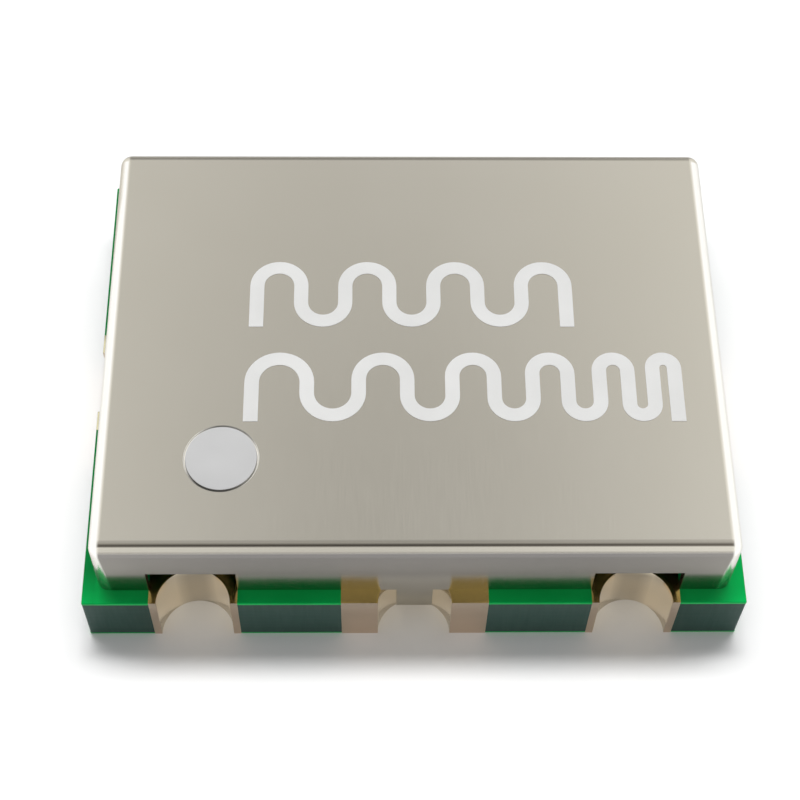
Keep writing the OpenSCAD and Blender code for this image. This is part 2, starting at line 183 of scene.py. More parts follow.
# %% [markdown]
# Every finished shape goes the same way: it shrinks to its true size, gets its finishes and even
# shading, and hides the pieces of the imported model that it stands for.

# %% Making a shape a piece of the object
def finish_piece(name, shape, finishes, stands_for, crease=35):
    """Scales a shape to metres and makes it a piece that stands for the given CAD nodes."""
    bmesh.ops.scale(shape, vec=Vector((MM, MM, MM)), verts=shape.verts)
    mesh = as_mesh(name, shape)
    for finish in finishes:
        mesh.materials.append(finish)
    mesh.shade_smooth()
    mesh.set_sharp_from_angle(angle=math.radians(crease))
    piece = put(name, mesh)
    even = piece.modifiers.new("even_shading", "WEIGHTED_NORMAL")
    even.keep_sharp = True
    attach(piece, "root")
    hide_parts(*stands_for)
    print(f"{name}: {len(mesh.polygons)} faces, stands for {', '.join(stands_for)}")
    return piece


print("helper: finish_piece")

# %% [markdown]
# A finish is a small network of nodes. Each one here starts with the same shader and then gets
# what its real surface has: a slow change of tone, a fine texture in the roughness, and a bump.
# All read Object coordinates, in metres, so a scale of 10000 has features of a tenth of a
# millimetre.

# %% Helpers for finishes
def new_finish(name, **settings):
    """A finish with its main shader set, and the shader."""
    finish = bpy.data.materials.new(name)
    finish.use_nodes = True
    shader = finish.node_tree.nodes["Principled BSDF"]
    for socket, value in settings.items():
        shader.inputs[socket.replace("_", " ")].default_value = value
    return finish, shader


def add(finish, kind):
    """A new node of a kind."""
    return finish.node_tree.nodes.new("ShaderNode" + kind)


def lead(finish, given, socket):
    """Leads a pattern, or a plain number or colour, into a socket."""
    if isinstance(given, bpy.types.NodeSocket):
        finish.node_tree.links.new(given, socket)
    else:
        socket.default_value = (*given, 1) if isinstance(given, tuple) else given


print("helpers: new_finish, add, lead")

# %% [markdown]
# A pattern is a value that differs from point to point. It starts as noise or as the place of a
# point, and is then spread, mixed or reckoned with.

# %% Patterns
NOISE_ROUGHNESS = 0.55


def grain(finish, scale, stretch=(1, 1, 1), detail=3.0):
    """A noise pattern on the object, stretched along its axes."""
    mapping, noise = add(finish, "Mapping"), add(finish, "TexNoise")
    mapping.inputs["Scale"].default_value = stretch
    for socket, value in (("Scale", scale), ("Detail", detail), ("Roughness", NOISE_ROUGHNESS)):
        noise.inputs[socket].default_value = value
    lead(finish, add(finish, "TexCoord").outputs["Object"], mapping.inputs["Vector"])
    lead(finish, mapping.outputs["Vector"], noise.inputs["Vector"])
    return noise.outputs["Fac"]


def place_on(finish):
    """The X, Y and Z of a point of the object, in metres."""
    place = add(finish, "SeparateXYZ")
    lead(finish, add(finish, "TexCoord").outputs["Object"], place.inputs[0])
    return place.outputs


def vary(finish, value, low, high, start=0.3, end=0.7, kind="LINEAR"):
    """Turns a value that goes from start to end into a number or a colour from low to high."""
    number = isinstance(low, (int, float))
    spread = add(finish, "MapRange")
    spread.interpolation_type = kind
    span = (start, end, low, high) if number else (start, end, 0, 1)
    for socket, level in zip(("From Min", "From Max", "To Min", "To Max"), span):
        spread.inputs[socket].default_value = level
    lead(finish, value, spread.inputs["Value"])
    if number:
        return spread.outputs["Result"]
    return mixed(finish, "MIX", low, high, spread.outputs["Result"])


def mixed(finish, blend, first, second, share=1.0):
    """Mixes two colours, each a pattern or plain red, green and blue, by a share of the second."""
    mix = add(finish, "Mix")
    mix.data_type, mix.blend_type = "RGBA", blend
    for socket, given in ((0, share), (6, first), (7, second)):
        lead(finish, given, mix.inputs[socket])
    return mix.outputs[2]


def reckon(finish, operation, first, second=0.0):
    """One sum with two numbers, each a pattern or a plain number."""
    step = add(finish, "Math")
    step.operation = operation
    for socket, given in zip(step.inputs, (first, second)):
        lead(finish, given, socket)
    return step.outputs[0]


print("noise roughness", NOISE_ROUGHNESS)

# %% [markdown]
# The finished patterns then go to the shader: as its colour, its roughness and its bump.

# %% From patterns to the shader
def surface(finish, shader, tone, texture, rough_low, rough_high):
    """Gives the shader its colour, and a roughness that follows a texture."""
    lead(finish, tone, shader.inputs["Base Color"])
    lead(finish, vary(finish, texture, rough_low, rough_high), shader.inputs["Roughness"])


def bump(finish, shader, value, height_mm, strength=1.0):
    """Raises the surface by a pattern of the given height."""
    node = add(finish, "Bump")
    node.inputs["Distance"].default_value = height_mm * MM
    node.inputs["Strength"].default_value = strength
    lead(finish, value, node.inputs["Height"])
    lead(finish, node.outputs["Normal"], shader.inputs["Normal"])


print("helpers: surface, bump")

# %% [markdown]
# Wear and tools change a finish from place to place. Three more helpers say where, in
# millimetres: one goes from one value to another between two places, one does so between two
# distances inside an edge, and one follows a curve of stops.

# %% Tones that follow a place
def over(finish, value, start, end, low, high):
    """Goes from low to high while a value goes from start to end, both in millimetres."""
    return vary(finish, value, low, high, start * MM, end * MM)


def inside(finish, value, edge, band, low=0.0, high=1.0):
    """Goes from low to high between the two distances of a band inside an edge."""
    return over(finish, value, edge - band[0], edge - band[1], low, high)


def follow(finish, value, stops):
    """Goes through the given stops, each a place in millimetres and the value there."""
    low, high = stops[0][0], stops[-1][0]
    ramp = add(finish, "ValToRGB")
    elements = ramp.color_ramp.elements
    while len(elements) < len(stops):
        elements.new(0.5)
    for element, (level, tone) in zip(elements, stops):
        element.position = (level - low) / (high - low)
        element.color = (tone, tone, tone, 1)
    lead(finish, over(finish, value, low, high, 0.0, 1.0), ramp.inputs["Fac"])
    return ramp.outputs["Color"]


print("helpers: over, inside, follow")

# %% [markdown]
# ## Satin nickel
# The can is drawn from thin nickel silver sheet. Rolling leaves a very fine grain along Y, which
# sits in the roughness and in a bump of less than a micrometre. The bends left and right and the
# upright corners in front get a painted highlight: a near-white tone that makes them shine white.
# The corners lean in a little towards the foot, and at the left the highlight band gets narrower
# towards the back.

# %% Where the bends get a painted highlight
BEND = 0.17
SIDE_BAND = (0.15, 0.12)
TOP_BAND = (0.19, 0.16)
CORNER_BAND = (0.17, 0.13)
BACK_BAND = (0.19, 0.15)
CORNER_LEAN = 0.07
NARROWING = 0.14
NARROWING_ENDS = -0.1 * half_depth, 0.7 * half_depth
LEFT_HALF = (-1.0, 1.0)


def painted_bend_highlight(finish, place, out_x, out_y):
    """1 where the bends and the upright front corners get a painted highlight, and 0 elsewhere."""
    z = place["Z"]
    lean = over(finish, z, top_of_board, lid_high.z - BEND, CORNER_LEAN * MM, 0.0)
    side = inside(finish, reckon(finish, "ADD", out_x, lean), lid_high.x, SIDE_BAND)
    narrower = over(finish, place["Y"], *NARROWING_ENDS, 0.0, NARROWING * MM)
    left = over(finish, place["X"], *LEFT_HALF, 1.0, 0.0)
    height = reckon(finish, "SUBTRACT", z, reckon(finish, "MULTIPLY", narrower, left))
    bend = inside(finish, height, lid_high.z, TOP_BAND)
    corner = inside(finish, out_y, lid_high.y, CORNER_BAND)
    bend_highlight = reckon(finish, "MULTIPLY", side, reckon(finish, "MAXIMUM", bend, corner))
    ahead = inside(finish, place["Y"], lid_high.y, BACK_BAND, 1.0, 0.0)
    return reckon(finish, "MULTIPLY", bend_highlight, ahead)


print("bend", BEND, "mm")

# %% [markdown]
# The front and back walls get painted shade, a darker tone: most of all under the bend, less
# towards the foot, a little less towards the ends, and a little higher up the wall at the back.
# Where the front bend begins, a fine dark line is painted into the top, a painted reflection that
# fades out towards the back.

# %% Where the walls get painted shade
WALL_BAND = (0.12, 0.04)
TOP_FACE = (0.08, 0.05)
WALL_SHADE_STOPS = [
    (0.35, 0.0), (0.7, 0.10), (1.0, 0.38), (1.3, 0.54), (1.5, 0.85), (2.05, 1.0), (2.09, 0.0),
]
BACK_SHADE_RISE = 0.09
END_SHADE = 0.91
WALL_ENDS = (2.4, 4.1)
DARK_LINE_STOPS = [(-0.19, 0.0), (-0.165, 0.35), (-0.14, 0.6), (-0.115, 1.0), (-0.10, 1.0), (-0.082, 0.0)]


def painted_wall_shade(finish, place, out_x, out_y):
    """1 where the walls in front and behind get the most painted shade, and 0 where they get none.
    """
    rise = over(finish, place["Y"], -half_depth, half_depth, 0.0, BACK_SHADE_RISE * MM)
    wall_shade = follow(finish, reckon(finish, "SUBTRACT", place["Z"], rise), WALL_SHADE_STOPS)
    wall_shade = reckon(finish, "MULTIPLY", wall_shade, inside(finish, out_y, lid_high.y, WALL_BAND))
    ends = over(finish, out_x, *WALL_ENDS, 1.0, END_SHADE)
    return reckon(finish, "MULTIPLY", wall_shade, ends)


def painted_dark_line(finish, place, out_y):
    """1 along the painted dark line in the top, and 0 elsewhere."""
    inwards = reckon(finish, "SUBTRACT", out_y, lid_high.y * MM)
    top = inside(finish, place["Z"], lid_high.z, TOP_FACE)
    dark_line = reckon(finish, "MULTIPLY", follow(finish, inwards, DARK_LINE_STOPS), top)
    front = over(finish, place["Y"], -half_depth / 2, half_depth / 2, 1.0, 0.0)
    return reckon(finish, "MULTIPLY", dark_line, front)


# The wall shade and the dark line counted here are painted shade.
print("painted_shade in", len(WALL_SHADE_STOPS), "stops, crease in", len(DARK_LINE_STOPS))

# %% [markdown]
# The finish lays the painted shade, the painted dark line and the painted highlight over the tone
# of the sheet, one after the other. Worn nickel shines less at a flat angle than polished metal,
# which the tint of its edge reflection says.

# %% Satin nickel
SHEET_TONES = (0.690, 0.652, 0.560), (0.710, 0.672, 0.582)
WALL_SHADE_TONE = (0.234, 0.224, 0.217)
BEND_HIGHLIGHT_TONE = (0.990, 0.975, 0.930)
DARK_LINE_TONE = (0.165, 0.147, 0.120)
GRAZING_TINT = (0.62, 0.61, 0.58, 1.0)


def satin_nickel():
    finish, shader = new_finish("satin_nickel", Metallic=1.0, Specular_Tint=GRAZING_TINT)
    rolled = grain(finish, 9000, stretch=(6, 0.25, 0.25), detail=4)
    cloudy = grain(finish, 350, detail=2)
    place = place_on(finish)
    out_x, out_y = (reckon(finish, "ABSOLUTE", place[axis]) for axis in ("X", "Y"))
    tone = vary(finish, cloudy, *SHEET_TONES)
    # Painted shade on the walls, a painted dark line along the front bend, and a painted highlight
    # on the bends.
    for laid, part in (
        (WALL_SHADE_TONE, painted_wall_shade(finish, place, out_x, out_y)),
        (DARK_LINE_TONE, painted_dark_line(finish, place, out_y)),
        (BEND_HIGHLIGHT_TONE, painted_bend_highlight(finish, place, out_x, out_y)),
    ):
        tone = mixed(finish, "MIX", tone, laid, part)
    surface(finish, shader, tone, rolled, 0.20, 0.24)
    bump(finish, shader, rolled, 0.00025)
    return finish


lid_metal = satin_nickel()
print("finish:", lid_metal.name)

# %% [markdown]
# ## The seat of the dot
# The round seat of the dot gets a painted highlight at its left and right and painted shade
# above and below, on a brighter tone than the sheet. The tone follows how far a point lies from
# the line between the two dark places.

# %% Seat nickel with painted light and shade
dot_low, dot_high = box_mm("pin_one_dot")
dot_middle = (dot_low + dot_high) / 2
SEAT_HIGHLIGHT_TONES = (0.780, 0.755, 0.690), (0.830, 0.805, 0.740)
RING_SHADE_ANGLE = math.radians(165)
RING_LIGHT_AND_SHADE = [(0.0, 0.44), (0.20, 0.47), (0.34, 0.72), (0.43, 1.16), (0.54, 1.20)]


def painted_seat_nickel():
    finish, shader = new_finish("painted_seat_nickel", Metallic=1.0)
    cloudy = grain(finish, 3000, detail=2)
    place = place_on(finish)
    parts = []
    for axis, middle, share in (
        ("X", dot_middle.x, math.cos(RING_SHADE_ANGLE)), ("Y", dot_middle.y, math.sin(RING_SHADE_ANGLE)),
    ):
        along = reckon(finish, "SUBTRACT", place[axis], middle * MM)
        parts.append(reckon(finish, "MULTIPLY", along, share))
    across = reckon(finish, "ABSOLUTE", reckon(finish, "ADD", *parts))
    tone = vary(finish, cloudy, *SEAT_HIGHLIGHT_TONES)
    # Painted highlight at the ring's left and right, painted shade above and below.
    painted_ring = mixed(finish, "MULTIPLY", tone, follow(finish, across, RING_LIGHT_AND_SHADE))
    surface(finish, shader, painted_ring, cloudy, 0.12, 0.16)
    return finish


rim_metal = painted_seat_nickel()
print("finish:", rim_metal.name)

# %% [markdown]
# ## Pale gold plating
# The terminals carry a few hundredths of a micrometre of gold over nickel, which looks pale and a
# little pink. Plating in a drilled hole is never mirror smooth, so it gets an uneven roughness and
# a shallow bump along the drill's direction. Painted shade darkens the back of each hole, and a
# little where the hole meets the board's edge. On the board's edge the gold gets a browner tint
# and painted shade, darkest near the top.

# %% Pale gold plating
PLATED_TONES = (0.950, 0.840, 0.655), (0.985, 0.868, 0.680)
HOLE_SHADE_TONES = [(-0.49, 0.68), (-0.42, 1.0), (-0.04, 1.0), (-0.01, 0.80)]
EDGE_SHADE_TONES = [(0.0, 0.80), (0.4, 0.88), (0.7, 0.87), (0.84, 0.78), (1.0, 0.60)]
WORN_TINT = (1.0, 0.90, 0.87)
SAWN_BAND = (0.03, 0.01)


def overhang(finish, value, reach):
    """How far a point lies outside the board along one axis, in metres."""
    return reckon(finish, "SUBTRACT", reckon(finish, "ABSOLUTE", value), reach * MM)


def behind_edge(finish):
    """How far a point lies outside the board's edge, in metres: below 0 inside a half hole."""
    place = place_on(finish)
    past_side = overhang(finish, place["X"], half_width)
    past_front = overhang(finish, place["Y"], half_depth)
    return reckon(finish, "MAXIMUM", past_side, past_front)


def pale_gold():
    finish, shader = new_finish("pale_gold", Metallic=1.0)
    drilled = grain(finish, 7000, stretch=(1, 1, 0.4), detail=3)
    cloudy = grain(finish, 1500, detail=2)
    depth = behind_edge(finish)
    tone = vary(finish, cloudy, *PLATED_TONES)
    # Painted shade at the back of the hole and where it meets the board's edge.
    tone = mixed(finish, "MULTIPLY", tone, follow(finish, depth, HOLE_SHADE_TONES))
    # A browner tint on the edge, with painted shade that is darkest near the top.
    edge_tint_and_shade = follow(finish, place_on(finish)["Z"], EDGE_SHADE_TONES)
    edge_tint_and_shade = mixed(finish, "MULTIPLY", edge_tint_and_shade, WORN_TINT)
    tone = mixed(finish, "MULTIPLY", tone, edge_tint_and_shade, inside(finish, depth, 0.0, SAWN_BAND))
    surface(finish, shader, tone, drilled, 0.10, 0.16)
    bump(finish, shader, drilled, 0.0004)
    return finish


terminal_metal = pale_gold()
print("finish:", terminal_metal.name)

# %% [markdown]
# The lands on top get a thicker, yellower gold than the drilled walls, and it grows on copper that
# was brushed, so it is duller. Along the board's left side it is painted pale, a painted highlight.

# %% Land gold
LAND_TONES = (0.555, 0.405, 0.132), (0.625, 0.455, 0.160)
LEFT_LAND_HIGHLIGHT = (0.96, 0.90, 0.63)
LEFT_HIGHLIGHT_ENDS = (-4.2, -4.1)


def land_gold():
    finish, shader = new_finish("land_gold", Metallic=1.0)
    brushed = grain(finish, 9000, detail=2)
    tone = grain(finish, 1500, detail=2)
    plated = vary(finish, tone, *LAND_TONES)
    # Along the left side the land is painted pale, a painted highlight.
    left = over(finish, place_on(finish)["X"], *LEFT_HIGHLIGHT_ENDS, 1.0, 0.0)
    plated = mixed(finish, "MIX", plated, LEFT_LAND_HIGHLIGHT, left)
    surface(finish, shader, plated, brushed, 0.20, 0.25)
    return finish


land_metal = land_gold()
print("finish:", land_metal.name)

# %% [markdown]
# ## Solder mask
# The mask is a clear green lacquer with a smooth, soft shine. It has a slow change of tone where
# it flowed thicker or thinner, and the faint ripple of a printed lacquer. It gets painted shade
# near the can's foot and painted light towards the board's edge, and along the left side more
# painted shade, lighter towards the front corner.

# %% Solder mask
MASK_TONES = (0.000, 0.360, 0.070), (0.002, 0.420, 0.085)
LEDGE_SHADE_TONES = [(-0.22, 0.90), (-0.12, 0.98), (-0.04, 1.10), (-0.01, 1.20)]
LEFT_MARGIN = (-4.34, -4.28)
MARGIN_CORNER = (-3.35, -3.0)
LEFT_MARGIN_SHADE = 0.50
LEFT_CORNER_SHADE = 0.86


def green_lacquer():
    finish, shader = new_finish("green_lacquer", Roughness=0.28, IOR=1.18)
    flow = grain(finish, 900, detail=3)
    ripple = grain(finish, 6000, detail=2)
    place = place_on(finish)
    # Painted shade near the can's foot and painted light towards the board's edge.
    ledge_shade = follow(finish, overhang(finish, place["Y"], half_depth), LEDGE_SHADE_TONES)
    lacquer = mixed(finish, "MULTIPLY", vary(finish, flow, *MASK_TONES), ledge_shade)
    # Painted shade along the left margin, lighter towards the front corner.
    left = over(finish, place["X"], *LEFT_MARGIN, 1.0, 0.0)
    left_shade = over(finish, place["Y"], *MARGIN_CORNER, LEFT_CORNER_SHADE, LEFT_MARGIN_SHADE)
    left_shade = mixed(finish, "MULTIPLY", lacquer, left_shade)
    lead(finish, mixed(finish, "MIX", lacquer, left_shade, left), shader.inputs["Base Color"])
    bump(finish, shader, ripple, 0.0015, strength=0.6)
    return finish


mask_lacquer = green_lacquer()
print("finish:", mask_lacquer.name)

# %% [markdown]
# ## Cut laminate
# Seen from its sawn edge, a board is layers of glass cloth in resin. The finish is a dark slate
# green with long pale bundles of fibre lying level, cut ends that sparkle a little, and the fine
# upright marks that the saw leaves.

# %% Cut laminate
LAMINATE_TONES = (0.022, 0.060, 0.048), (0.043, 0.087, 0.072)
SAW_SHARE = 0.35


def sawn_laminate():
    finish, shader = new_finish("sawn_laminate", IOR=1.22)
    cloth = grain(finish, 2600, stretch=(0.35, 0.35, 4.5), detail=4)
    sawn = grain(finish, 5200, stretch=(4, 4, 0.3), detail=2)
    weave = add(finish, "Mix")
    weave.data_type = "FLOAT"
    for socket, given in (("Factor", SAW_SHARE), ("A", cloth), ("B", sawn)):
        lead(finish, given, weave.inputs[socket])
    pattern = weave.outputs["Result"]
    surface(finish, shader, vary(finish, pattern, *LAMINATE_TONES), cloth, 0.34, 0.55)
    bump(finish, shader, pattern, 0.004, strength=0.7)
    return finish


board_laminate = sawn_laminate()
print("finish:", board_laminate.name)

# %% [markdown]
# ## Inks
# The marking is a thick white epoxy ink, and the dot that shows terminal 1 is a smooth grey one.
# Both lie a few micrometres proud of the can, so they are real shapes with their own finish.

# %% Inks
def printed_ink(name, low, high, rough_low, rough_high):
    finish, shader = new_finish(name, IOR=1.45)
    pores = grain(finish, 16000, detail=3)
    patch = grain(finish, 1200, detail=2)
    surface(finish, shader, vary(finish, patch, low, high), pores, rough_low, rough_high)
    bump(finish, shader, pores, 0.0015, strength=0.7)
    return finish


marking_ink = printed_ink("marking_ink", (0.63, 0.63, 0.62), (0.68, 0.68, 0.67), 0.45, 0.65)
dot_ink = printed_ink("dot_ink", (0.49, 0.49, 0.49), (0.53, 0.53, 0.53), 0.30, 0.40)
print("finishes:", marking_ink.name, dot_ink.name)

# %% [markdown]
# ## Finishes under the can
# Nobody sees these until the can is lifted: bare copper, bright solder and tin, black moulding
# compound, and three ceramics. They are simpler, but each has its own texture.

# %% Finishes under the can
def speckled(name, low, high, scale, rough_low, rough_high, metallic=0.0, height_mm=0.002):
    """A finish with a slow change of tone and a fine grain."""
    finish, shader = new_finish(name, Metallic=metallic)
    slow = grain(finish, scale / 8, detail=2)
    fine = grain(finish, scale, detail=3)
    surface(finish, shader, vary(finish, slow, low, high), fine, rough_low, rough_high)
    bump(finish, shader, fine, height_mm)
    return finish


METAL = 1.0
FINE_GRAIN = 0.001
bare_copper = speckled(
    "bare_copper", (0.80, 0.42, 0.24), (0.88, 0.50, 0.30), 9000, 0.25, 0.40, METAL, FINE_GRAIN
)
bright_tin = speckled(
    "bright_tin", (0.74, 0.74, 0.72), (0.82, 0.82, 0.81), 8000, 0.22, 0.36, METAL, FINE_GRAIN
)
solder_metal = speckled(
    "solder_metal", (0.70, 0.71, 0.70), (0.80, 0.81, 0.81), 5000, 0.15, 0.35, METAL
)
mould_black = speckled(
    "mould_black", (0.012, 0.012, 0.013), (0.022, 0.022, 0.023), 12000, 0.50, 0.70
)
tan_ceramic = speckled("tan_ceramic", (0.42, 0.27, 0.14), (0.50, 0.33, 0.18), 14000, 0.45, 0.60)
blue_ceramic = speckled("blue_ceramic", (0.22, 0.30, 0.38), (0.30, 0.38, 0.46), 14000, 0.35, 0.50)
dark_glaze = speckled(
    "dark_glaze", (0.015, 0.016, 0.020), (0.030, 0.031, 0.036), 14000, 0.20, 0.32
)
print("finishes under the can: 7")

# %% [markdown]
# ## The shield can
# On the real part one stamping press blanks a flat sheet with its windows and tabs, and draws it
# into a box with tight bends. The same order works here: a skin of no thickness gets its bends,
# windows and tabs while it is simple, and is then thickened inwards. A cube without its bottom is
# the skin, and a bevel makes the bends and the ball-shaped corners in one go.

# %% The skin of the can
SHEET = 0.12
BEND_STEPS = 10
lid_foot = top_of_board


def drawn_skin():
    skin = bmesh.new()
    block(skin, (lid_low.x, lid_low.y, lid_foot), lid_high)
    underside = [face for face in skin.faces if face.normal.z < -0.5]
    bmesh.ops.delete(skin, geom=underside, context="FACES_ONLY")
    bends = [edge for edge in skin.edges if not edge.is_boundary]
    bmesh.ops.bevel(
        skin, geom=bends, offset=BEND, offset_type="OFFSET", segments=BEND_STEPS, profile=0.5,
        affect="EDGES", material=-1,
    )
    return skin


can_shape = drawn_skin()
print("skin:", len(can_shape.faces), "faces")

# %% [markdown]
# A window stands over each signal terminal, and a tab hangs into each ground terminal. Straight
# cuts through one wall at a time mark them out. The faces of a window are deleted, and the edge
# at the foot of a tab is pulled down.

# %% Windows and tabs
TERMINAL_PITCH = 3.0
WINDOW_WIDTH = 1.2
WINDOW_HEIGHT = 0.5
HOLE_RADIUS = 0.5
TAB_GAP = 0.14
FACING = 0.999
ON_PLANE = 1e-5
ledge = half_depth - lid_high.y
tab_width = 2 * (math.sqrt(HOLE_RADIUS**2 - (ledge + SHEET) ** 2) - TAB_GAP)
tab_foot = lid_low.z


def cut_wall(skin, outwards, point, normal):
    """Cuts one wall of the skin along a plane."""
    wall = [face for face in skin.faces if face.normal.dot(Vector(outwards)) > FACING]
    parts = set(wall)
    for face in wall:
        parts.update(face.edges)
        parts.update(face.verts)
    bmesh.ops.bisect_plane(skin, geom=list(parts), dist=ON_PLANE, plane_co=point, plane_no=normal)


def open_windows(skin, outwards):
    """Removes two windows from the wall that looks along outwards."""
    head = lid_foot + WINDOW_HEIGHT
    for middle in (-TERMINAL_PITCH, TERMINAL_PITCH):
        for side in (-1, 1):
            cut_wall(skin, outwards, (middle + side * WINDOW_WIDTH / 2, 0, 0), (1, 0, 0))
    cut_wall(skin, outwards, (0, 0, head), (0, 0, 1))
    gone = [
        face
        for face in skin.faces
        if face.normal.dot(Vector(outwards)) > FACING
        and abs(abs(face.calc_center_median().x) - TERMINAL_PITCH) < WINDOW_WIDTH / 2
        and face.calc_center_median().z < head
    ]
    bmesh.ops.delete(skin, geom=gone, context="FACES")
    return len(gone)


def hang_tab(skin, outwards):
    """Draws a tab down from the middle of the wall that looks along outwards."""
    along = Vector((abs(outwards[1]), abs(outwards[0]), 0))
    for side in (-1, 1):
        cut_wall(skin, outwards, along * side * tab_width / 2, along)

    def in_foot(vert):
        on_edge = abs(vert.co.z - lid_foot) < MERGE and vert.co.dot(Vector(outwards)) > 1
        return on_edge and abs(vert.co.dot(along)) < tab_width / 2 + MERGE

    foot = [edge for edge in skin.edges if edge.is_boundary and all(map(in_foot, edge.verts))]
    pulled = bmesh.ops.extrude_edge_only(skin, edges=foot)["geom"]
    bmesh.ops.translate(skin, vec=(0, 0, tab_foot - lid_foot), verts=verts_in(pulled))
    return len(foot)


for outwards in ((0, -1, 0), (0, 1, 0)):
    print("windows:", open_windows(can_shape, outwards))
for outwards in ((0, -1, 0), (0, 1, 0), (-1, 0, 0), (1, 0, 0)):
    print("tab edges:", hang_tab(can_shape, outwards))

# %% [markdown]
# Thickening the skin inwards gives the sheet its 0.12 mm. The shallow round seat of the dot is
# then pressed into the top and takes the finish with painted light and shade, and the cut edges
# lose less than a hundredth of a millimetre, as a stamped edge does.

# %% Thickness, the seat of the dot, and the edges
DOT_GROOVE = 0.02
SEAT_DEPTH = 0.013
SEAT_EDGE = 0.011
STAMPED_EDGE = 0.006
TILTED = 0.99
seat_floor = lid_high.z - SEAT_DEPTH
seat_radius = (dot_high.x - dot_low.x) / 2 + DOT_GROOVE

bmesh.ops.recalc_face_normals(can_shape, faces=can_shape.faces)
if sum(face.normal.z for face in can_shape.faces) < 0:
    bmesh.ops.reverse_faces(can_shape, faces=can_shape.faces)
bmesh.ops.solidify(can_shape, geom=can_shape.faces[:], thickness=SHEET)
press = bmesh.new()
rod(press, seat_radius, seat_floor, lid_high.z + OVER, dot_middle.x, dot_middle.y)
can_shape = combine(can_shape, press, "DIFFERENCE")


def out_of_seat(point):
    """How far a point lies outside the round wall of the dot's seat."""
    return (point - dot_middle).to_2d().length - seat_radius


def near_rim(point):
    """Whether a point lies on the rounded rim of the dot's seat."""
    high = point.z > lid_high.z - SEAT_EDGE - CLOSE
    return high and -CLOSE < out_of_seat(point) < SEAT_EDGE + CLOSE


def in_seat(face):
    """Whether a face is the wall or the floor of the dot's seat."""
    middle = face.calc_center_median()
    return out_of_seat(middle) < CLOSE and seat_floor - CLOSE < middle.z < lid_high.z - CLOSE


def rim_edge(edge):
    """Whether an edge is the sharp rim that the press leaves."""
    return all(near_rim(v.co) and abs(v.co.z - lid_high.z) < MERGE for v in edge.verts)


print("rim edges:", round_edges(can_shape, SEAT_EDGE, rim_edge, steps=4))
for face in can_shape.faces:
    rim = face.normal.z < TILTED and all(near_rim(v.co) for v in face.verts)
    face.material_index = 1 if rim or in_seat(face) else 0
print("rim faces:", sum(face.material_index for face in can_shape.faces))
print("edges rounded:", round_edges(can_shape, STAMPED_EDGE))
heights = [v.co.z for v in can_shape.verts]
print("can from", round(min(heights), 4), "to", round(max(heights), 4))
finish_piece("shield_lid", can_shape, [lid_metal, rim_metal], ["shield_can"])

# %% [markdown]
# ## The dot beside terminal 1
# A disc of grey ink sits in the pressed seat and stands a hundredth of a millimetre above the
# can. The narrow groove round it has painted light on two sides and painted shade above and below.

# %% The dot
INK_EDGE = 0.006
dot_shape = bmesh.new()
rod(dot_shape, seat_radius - DOT_GROOVE, seat_floor, dot_high.z, dot_middle.x, dot_middle.y)
round_edges(dot_shape, INK_EDGE)
finish_piece("terminal_one_dot", dot_shape, [dot_ink], ["pin_one_dot"])

# %% [markdown]
# ## The marking
# The can carries a printed marking in two rows. Here it is a plain picture of what the part does:
# a steady wave, and below it a wave whose pitch rises. A pen that walks over the can draws each
# one as a single stroke: going forward extrudes the stroke's last edge, and turning spins it
# round a centre.

# %% A pen for printed strokes
STROKE = 0.2
INK_HEIGHT = 0.006
TURN_STEPS = 20


class Pen:
    """Draws one flat stroke on the can, starting upwards (+Y)."""

    def __init__(self, x, y):
        self.shape = bmesh.new()
        ends = [self.shape.verts.new((x + side * STROKE / 2, y, lid_high.z)) for side in (-1, 1)]
        self.tip = [self.shape.edges.new(ends), *ends]
        self.heading = 1

    def place(self):
        ends = verts_in(self.tip)
        return (ends[0].co + ends[1].co) / 2

    def forward(self, length):
        edges = [item for item in self.tip if isinstance(item, bmesh.types.BMEdge)]
        self.tip = bmesh.ops.extrude_edge_only(self.shape, edges=edges)["geom"]
        step = (0, self.heading * length, 0)
        bmesh.ops.translate(self.shape, vec=step, verts=verts_in(self.tip))
        self.tip = [item for item in self.tip if not isinstance(item, bmesh.types.BMFace)]

    def turn(self, radius):
        """Half a turn to the right at the top of the stroke, and to the left at its bottom."""
        centre = self.place() + Vector((radius, 0, 0))
        self.tip = bmesh.ops.spin(
            self.shape, geom=self.tip, cent=centre, axis=(0, 0, 1), angle=-self.heading * math.pi,
            steps=TURN_STEPS, use_duplicate=False,
        )["geom_last"]
        self.heading = -self.heading


print("stroke", STROKE, "mm wide and", INK_HEIGHT, "mm high")

# %% [markdown]
# The steady wave turns with one radius all along. In the rising wave each turn is tighter than
# the one before.

# %% Two waves
def wave(left, bottom, top, radii):
    """A stroke that swings between bottom and top, with a turn of each given radius."""
    pen = Pen(left + STROKE / 2, bottom)
    reach = top - bottom - STROKE / 2
    pen.forward(reach - radii[0])
    for radius, following in zip(radii, [*radii[1:], None]):
        pen.turn(radius)
        if following is None:
            pen.forward(reach - radius)
        else:
            pen.forward(reach - radius - following - STROKE / 2)
    return pen.shape


def even_radii(count, width):
    return [(width - STROKE) / 2 / count] * count


def falling_radii(count, width, fall):
    """Radii that shrink evenly, the last being 1 - fall times the first."""
    shares = [1 - fall * i / (count - 1) for i in range(count)]
    unit = (width - STROKE) / 2 / sum(shares)
    return [unit * share for share in shares]


